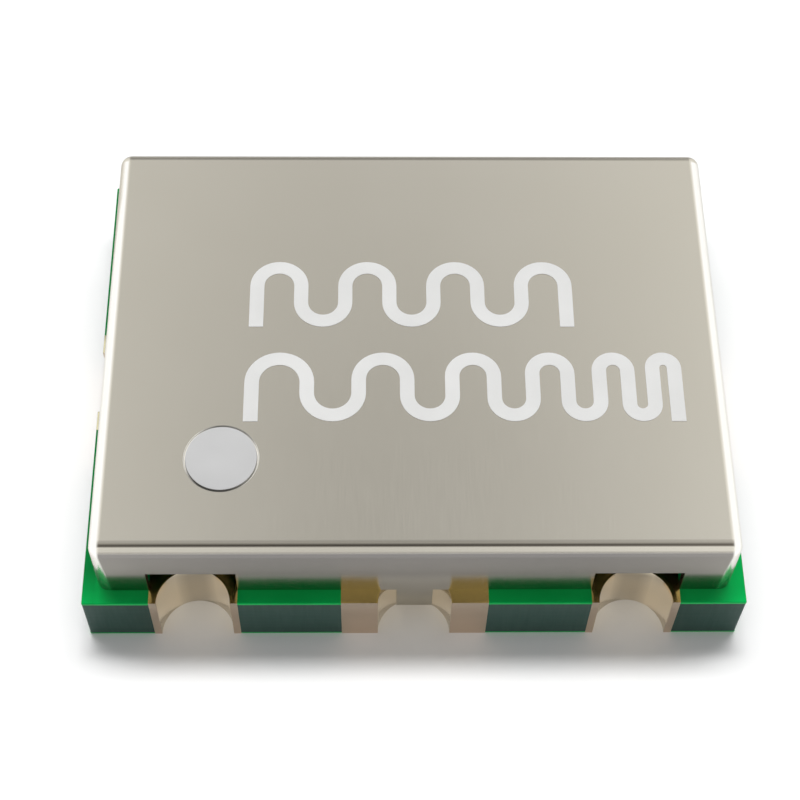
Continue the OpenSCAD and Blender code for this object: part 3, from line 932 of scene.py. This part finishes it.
ROWS = [
    ("steady_wave", -2.30, 0.20, 1.30, even_radii(7, 4.56)),
    ("rising_wave", -2.33, -1.33, -0.23, falling_radii(11, 6.03, 0.60)),
]
marks = bmesh.new()
for name, left, bottom, top, radii in ROWS:
    gather(marks, wave(left, bottom, top, radii))
    print(name, "has", len(radii), "turns")
bmesh.ops.recalc_face_normals(marks, faces=marks.faces)
if sum(face.normal.z for face in marks.faces) < 0:
    bmesh.ops.reverse_faces(marks, faces=marks.faces)
raised = bmesh.ops.extrude_face_region(marks, geom=marks.faces[:])["geom"]
bmesh.ops.translate(marks, vec=(0, 0, INK_HEIGHT), verts=verts_in(raised))
bmesh.ops.recalc_face_normals(marks, faces=marks.faces)
bmesh.ops.scale(marks, vec=Vector((MM, MM, MM)), verts=marks.verts)
marking = put("printed_marking", as_mesh("printed_marking", marks))
marking.data.materials.append(marking_ink)
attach(marking, "root")

# %% [markdown]
# ## The terminals
# Each terminal is a hole that was drilled, plated and then sawn through the middle, with a square
# land on top and below. A tube and two plates are joined, the bore is cut from all three, and the
# half that the saw took away is cut off. Three signal terminals also carry their feed track and
# the first land of the circuit.

# %% One terminal
PLATING = 0.05
LAND_DEPTH = 0.85
FOIL = 0.05
TRACK_WIDTH = 0.2
land_top = top_of_board
lower_land_top = box_mm("ground_plane")[1].z
SAWN_OFF = 2


def terminal_shape(land_width, feeds):
    """A terminal at the origin, on the board's edge, with +Y into the board."""
    solid = bmesh.new()
    block(solid, (-land_width / 2, 0, 0), (land_width / 2, LAND_DEPTH, lower_land_top))
    top_land = bmesh.new()
    block(top_land, (-land_width / 2, 0, land_top - FOIL), (land_width / 2, LAND_DEPTH, land_top))
    rim = bmesh.new()
    block(rim, (-land_width / 2, 0, 0), (land_width / 2, PLATING, land_top))
    tube = bmesh.new()
    rod(tube, HOLE_RADIUS + PLATING, 0, land_top)
    for part in (top_land, rim, tube, *feeds):
        solid = combine(solid, part, "UNION")
    bore = bmesh.new()
    rod(bore, HOLE_RADIUS, -OVER, land_top + OVER)
    solid = combine(solid, bore, "DIFFERENCE")
    sawn = bmesh.new()
    block(sawn, (-SAWN_OFF, -SAWN_OFF, -OVER), (SAWN_OFF, 0, land_top + OVER))
    return combine(solid, sawn, "DIFFERENCE")


print("plating", PLATING, "mm, lands up to", round(land_top, 3))

# %% [markdown]
# A table says on which edge each terminal stands, how far along it, and how wide its land is. A
# turn and a shift then bring it there. Edges that the saw cut stay sharp, and all others, which
# the bath reached, are round.

# %% All eight terminals
SIGNAL_LAND = 1.2
TERMINALS = {
    "tuning_pin": ("front", -TERMINAL_PITCH, SIGNAL_LAND), "ground_pin_front": ("front", 0, 2.0),
    "supply_pin": ("front", TERMINAL_PITCH, SIGNAL_LAND), "ground_pin_right": ("right", 0, 1.6),
    "output_pin": ("back", TERMINAL_PITCH, SIGNAL_LAND), "ground_pin_back": ("back", 0, 2.0),
    "spare_pin": ("back", -TERMINAL_PITCH, SIGNAL_LAND), "ground_pin_left": ("left", 0, 1.6),
}
TURNS = {"front": 0, "right": 90, "back": 180, "left": -90}
FEEDS = {
    "tuning_pin": "tuning_choke", "supply_pin": "supply_choke", "output_pin": "output_capacitor",
}
PLATED_EDGE = 0.006
CHIP_LAND = 0.45
LEVEL = 0.9


def on_outer_side(point):
    """Whether a point lies on one of the four sides that the saw cuts."""
    return abs(abs(point.x) - half_width) < CLOSE or abs(abs(point.y) - half_depth) < CLOSE


def not_sawn(edge):
    """Whether the saw leaves an edge alone, so that its plating is round."""
    return not all(on_outer_side(v.co) for v in edge.verts)


def feed_parts(pin, chip, place):
    """The track from a terminal to its chip, and the chip's first land, seen from the terminal."""
    chip_low, chip_high = box_mm(chip)
    middle = (chip_low + chip_high) / 2
    back = place.inverted()
    ends = [back @ Vector((middle.x, corner.y, 0)) for corner in box_mm(pin)]
    x, far = ends[0].x, max(end.y for end in ends)
    parts = []
    for width, start, end in (
        (TRACK_WIDTH, LAND_DEPTH - OVER, far - OVER),
        (chip_high.x - chip_low.x, far - CHIP_LAND, far),
    ):
        parts.append(bmesh.new())
        low, high = (x - width / 2, start, land_top - FOIL), (x + width / 2, end, land_top)
        block(parts[-1], low, high)
    return parts


for pin, (edge, along, land_width) in TERMINALS.items():
    turn = Matrix.Rotation(math.radians(TURNS[edge]), 4, "Z")
    reach = half_depth if edge in ("front", "back") else half_width
    place = turn @ Matrix.Translation((along if edge == "front" else -along, -reach, 0))
    feeds = feed_parts(pin, FEEDS[pin], place) if pin in FEEDS else []
    shape = terminal_shape(land_width, feeds)
    bmesh.ops.transform(shape, matrix=place, verts=shape.verts)
    round_edges(shape, PLATED_EDGE, not_sawn)
    for face in shape.faces:
        face.material_index = 1 if abs(face.normal.z) > LEVEL else 0
    name = pin.replace("pin", "terminal")
    finish_piece(name, shape, [terminal_metal, land_metal], [pin])

# %% [markdown]
# ## The board
# The laminate and its two masks are flat sheets, so a copy of each CAD piece keeps its outline.
# Only the outer edges are rounded: the corners of the laminate by the saw, and the upper edge of
# the mask, where lacquer thins out and shines.

# %% Laminate and masks
def at_corner(point):
    return abs(abs(point.x) - half_width) < CLOSE and abs(abs(point.y) - half_depth) < CLOSE


def corner_edge(edge):
    """Whether an edge is one of the board's four upright corners."""
    return all(at_corner(v.co) for v in edge.verts)


def outer_edge_at(level):
    """A test for the upright corners and for the outer edges at a height."""

    def where(edge):
        at_level = all(on_outer_side(v.co) and abs(v.co.z - level) < CLOSE for v in edge.verts)
        return at_level or corner_edge(edge)

    return where


CORNER = 0.03
MASK_EDGE = 0.015
core = merged_copy("board_core")
print("corners:", round_edges(core, CORNER, corner_edge, steps=4))
finish_piece("laminate", core, [board_laminate], ["board_core"])
for node, level, name in (
    ("solder_mask_top", top_of_board, "upper_mask"),
    ("solder_mask_bottom", 0.0, "lower_mask"),
):
    sheet = merged_copy(node)
    print("mask edges:", round_edges(sheet, MASK_EDGE, outer_edge_at(level)))
    finish_piece(name, sheet, [mask_lacquer], [node])

# %% [markdown]
# ## Chips
# A chip capacitor, inductor or resistor is a fired ceramic block with a metal cap on each end.
# Each is built from its CAD box: a rounded body, and two caps that wrap round it.

# %% Chips
CAP_LENGTH = 0.22
CAP_PROUD = 0.02
CHIP_EDGE = 0.04


def chip_shape(low, high):
    """A chip along Y between two corners, with its caps as the second finish."""
    inset = Vector((CAP_PROUD, CAP_PROUD, CAP_PROUD))
    chip = bmesh.new()
    block(chip, low + inset, high - inset)
    round_edges(chip, CHIP_EDGE, steps=4)
    body = set(chip.faces)
    for start, end in ((low.y, low.y + CAP_LENGTH), (high.y - CAP_LENGTH, high.y)):
        cap = bmesh.new()
        block(cap, (low.x, start, low.z), (high.x, end, high.z))
        round_edges(cap, CHIP_EDGE, steps=4)
        gather(chip, cap)
    for face in chip.faces:
        face.material_index = 0 if face in body else 1
    return chip


CHIPS = {
    "capacitor": (tan_ceramic, [
        "tuning_capacitor", "varactor_capacitor", "base_capacitor", "interstage_capacitor",
        "bypass_capacitor", "output_capacitor",
    ]),
    "inductor": (blue_ceramic, [
        "tuning_choke", "supply_choke", "collector_choke", "matching_inductor",
    ]),
    "resistor": (dark_glaze, ["damping_resistor", "emitter_resistor", "buffer_resistor"]),
}
for slot, (ceramic, nodes) in CHIPS.items():
    for node in nodes:
        finish_piece(node + "_chip", chip_shape(*box_mm(node)), [ceramic, bright_tin], [node])

# %% [markdown]
# ## Transistors, diodes and solder
# The packages and their leads already have their true form, so merged copies only lose their
# sharp edges. Solder fillets are hollow curves, so their copies are shaded smooth.

# %% Packages, leads and solder
FORMED = [
    (("oscillator_transistor", "buffer_transistor", "varactor_a", "varactor_b"),
     0.03, 3, mould_black, "package", "_package"),
    (("oscillator_leads", "buffer_leads", "varactor_a_leads", "varactor_b_leads"),
     0.02, 2, bright_tin, "lead", "_formed"),
]
for nodes, radius, steps, finish, slot, ending in FORMED:
    for node in nodes:
        shape = merged_copy(node)
        round_edges(shape, radius, steps=steps)
        finish_piece(node + ending, shape, [finish], [node])
fillets = merged_copy("solder_joints")
finish_piece("solder_fillets", fillets, [solder_metal], ["solder_joints"], crease=50)

# %% [markdown]
# Tracks, the resonator strip, the ground plane and the via posts are flat foil. They keep their
# CAD meshes and only take a finish: gold where the foil lies open under the can, and bare copper
# inside the board.

# %% Foil that keeps its CAD mesh
FOIL_FINISHES = {
    "circuit_traces": land_metal, "resonator_strip": land_metal,
    "ground_plane": bare_copper, "ground_vias": bare_copper,
}
for node, metal in FOIL_FINISHES.items():
    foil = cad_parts[node]
    foil.data.materials.clear()
    foil.data.materials.append(metal)
    print(metal.name, "on", node)

# %% [markdown]
# ## Floor
# The part stands on a plain white table: one large flat mesh, with a faint slow change of tone as
# paper has.

# %% Floor
PAPER_TONES = (0.93, 0.93, 0.93), (0.95, 0.95, 0.95)


def white_table():
    finish, shader = new_finish("white_table", Roughness=0.6, IOR=1.3)
    paper = vary(finish, grain(finish, 60, detail=2), *PAPER_TONES)
    lead(finish, paper, shader.inputs["Base Color"])
    return finish


TABLE_SIZE = 1.0
table_shape = bmesh.new()
bmesh.ops.create_grid(table_shape, x_segments=2, y_segments=2, size=TABLE_SIZE)
table = put("table", as_mesh("table", table_shape))
table.data.materials.append(white_table())
print("table laid")

# %% [markdown]
# ## Camera
# The camera stands 27 mm away and looks down at 59 degrees with a long lens. Its pitch, yaw and
# roll give its three axes, which become the columns of its matrix.

# %% Camera
CAMERA_PLACE = Vector((-0.6147, -13.6854, 23.4716)) * MM
PITCH, YAW, ROLL = (math.radians(angle) for angle in (59.220, 1.889, 1.591))
LENS_OVER_WIDTH = 2.27045
SENSOR = 36.0


def camera_axes():
    """The directions to the right, upwards and ahead, as seen through the lens."""
    flat = math.cos(PITCH)
    ahead = Vector((math.sin(YAW) * flat, math.cos(YAW) * flat, -math.sin(PITCH)))
    level = Vector((math.cos(YAW), -math.sin(YAW), 0))
    upright = level.cross(ahead)
    right = math.cos(ROLL) * level + math.sin(ROLL) * upright
    up = math.cos(ROLL) * upright - math.sin(ROLL) * level
    return right, up, ahead


right, up, ahead = camera_axes()
camera_data = bpy.data.cameras.new("camera")
camera_data.sensor_width = SENSOR
camera_data.lens = LENS_OVER_WIDTH * SENSOR
camera_data.clip_start, camera_data.clip_end = 0.001, 10
camera = put("camera", camera_data)
turned = Matrix((right, up, -ahead)).transposed().to_4x4()
camera.matrix_world = Matrix.Translation(CAMERA_PLACE) @ turned
bpy.context.scene.camera = camera
print("lens", round(camera_data.lens, 2), "mm")

# %% [markdown]
# ## Light
# Metal shows the room that it stands in, so the room is the world: white walls all round at the
# horizon, two bright side walls, a darker curtain behind, and a grey ceiling that gets lighter to
# both sides. A soft dark patch in the ceiling behind shades the middle of the can's top, and a
# dark batten in front makes the thin dark line along its front bend. Mirror rays and the camera
# see this room. Soft light comes from a plain fill instead, so the two can be set apart.

# %% Levels and edges of the room
CEILING_BEHIND, CEILING_IN_FRONT = 0.705, 0.69
CEILING_TURN = (0.6, -0.4)
CEILING_RISES = ((1, 1.15), (-1, 0.65))
HORIZON_LEVEL, HORIZON_EDGE = 0.72, (0.10, 0.34)
CURTAIN_SHARE, CURTAIN_EDGE, CURTAIN_START = 0.45, (0.60, 0.70), (0.0, 0.4)
SIDE_LEVEL = 1.06
SIDE_EDGES = ((1, 0.22, 0.34), (-1, 0.24, 0.36))
PATCH_SHARE, PATCH_MIDDLE, PATCH_REACH = 0.42, 0.04, 0.30
PATCH_NEAR, PATCH_FAR = (0.15, 0.36), (0.44, 0.70)
BATTEN_SHARE, BATTEN_ENDS = 0.70, (0.3, 0.5)
BATTEN_NEAR, BATTEN_FAR = (-0.10, -0.18), (-0.42, -0.34)
FILL_LEVEL = 0.385
print("side walls", SIDE_LEVEL, "horizon", HORIZON_LEVEL, "fill", FILL_LEVEL)

# %% [markdown]
# The world's shader works out one brightness from the direction of a ray. Every edge in the room
# is a smooth step, because a hard one would draw lines in the metal.

# %% World
def studio_world():
    world = bpy.data.worlds.new("studio")
    world.use_nodes = True
    world.node_tree.nodes.clear()

    def maths(operation, first, second=0.0):
        return reckon(world, operation, first, second)

    def ease(value, start, end, low, high):
        """A smooth step from low to high while value goes from start to end."""
        return vary(world, value, low, high, start, end, "SMOOTHSTEP")

    def glow(strength):
        """A white light of the given strength."""
        made = add(world, "Background")
        lead(world, (1, 1, 1), made.inputs["Color"])
        lead(world, strength, made.inputs["Strength"])
        return made.outputs[0]

    split = add(world, "SeparateXYZ")
    lead(world, add(world, "TexCoord").outputs["Generated"], split.inputs[0])
    x, y, z = split.outputs
    patch = maths("MULTIPLY", ease(y, *PATCH_NEAR, 0.0, 1.0), ease(y, *PATCH_FAR, 1.0, 0.0))
    aside = maths("ABSOLUTE", maths("SUBTRACT", x, PATCH_MIDDLE))
    patch = maths("MULTIPLY", patch, ease(aside, 0.0, PATCH_REACH, PATCH_SHARE, 0.0))
    batten = maths("MULTIPLY", ease(y, *BATTEN_NEAR, 0.0, 1.0), ease(y, *BATTEN_FAR, 0.0, 1.0))
    aside = maths("ABSOLUTE", x)
    batten = maths("MULTIPLY", batten, ease(aside, *BATTEN_ENDS, BATTEN_SHARE, 0.0))
    ceiling = ease(y, *CEILING_TURN, CEILING_BEHIND, CEILING_IN_FRONT)
    ceiling = maths("MULTIPLY", ceiling, maths("SUBTRACT", 1.0, maths("ADD", patch, batten)))
    for side, rise in CEILING_RISES:
        aside = maths("MAXIMUM", maths("MULTIPLY", x, side), 0.0)
        ceiling = maths("ADD", ceiling, maths("MULTIPLY", aside, rise))
    horizon = ease(z, *HORIZON_EDGE, 1.0, 0.0)
    above = maths("SUBTRACT", HORIZON_LEVEL, ceiling)
    room = maths("ADD", maths("MULTIPLY", above, horizon), ceiling)
    behind = ease(y, *CURTAIN_START, 0.0, 1.0)
    curtain = maths("MULTIPLY", ease(z, *CURTAIN_EDGE, 1.0 - CURTAIN_SHARE, 0.0), behind)
    room = maths("MULTIPLY", room, maths("SUBTRACT", 1.0, curtain))
    for side, start, end in SIDE_EDGES:
        reach = ease(maths("MULTIPLY", x, side), start, end, 0.0, 1.0)
        above = maths("SUBTRACT", SIDE_LEVEL, room)
        room = maths("ADD", room, maths("MULTIPLY", reach, above))

    paths = add(world, "LightPath").outputs
    mirrored = maths("MAXIMUM", paths["Is Glossy Ray"], paths["Is Transmission Ray"])
    seen = maths("MAXIMUM", paths["Is Camera Ray"], mirrored)
    choice = add(world, "MixShader")
    for socket, given in zip(choice.inputs, (seen, glow(FILL_LEVEL), glow(room))):
        lead(world, given, socket)
    lead(world, choice.outputs[0], add(world, "OutputWorld").inputs["Surface"])
    return world


bpy.context.scene.world = studio_world()
print("world:", bpy.context.scene.world.name)

# %% [markdown]
# Six lamps stand in a fan high behind the part, the middle ones strongest. Together they are one
# wide, soft lamp: its shade in front of the part is short and blurs at its ends. Metal doesn't
# show them, because the room already gives it its highlights.

# %% A row of lamps
SHADE_REACH = math.tan(math.radians(69.7))
LAMP_SPREAD = 12.0
LAMP_STRENGTH = 2.74
LAMP_TURNS = (-44, -26, -9, 9, 26, 44)
weight = sum(math.cos(math.radians(turn)) ** 2 for turn in LAMP_TURNS)
for turn in LAMP_TURNS:
    lamp_data = bpy.data.lights.new("soft_box", "SUN")
    lamp_data.energy = LAMP_STRENGTH * math.cos(math.radians(turn)) ** 2 / weight
    lamp_data.angle = math.radians(LAMP_SPREAD)
    lamp = put("soft_box", lamp_data)
    height = math.atan(SHADE_REACH * math.cos(math.radians(turn)))
    lamp.rotation_euler = (height - math.radians(90), 0, math.radians(turn))
    lamp.visible_glossy = False
    print("lamp turned", turn, "at", round(math.degrees(height), 1), "degrees")

# %% [markdown]
# ## Finish
# The view settings stay plain.

# %% Finish
bpy.context.scene.view_settings.view_transform = "Standard"
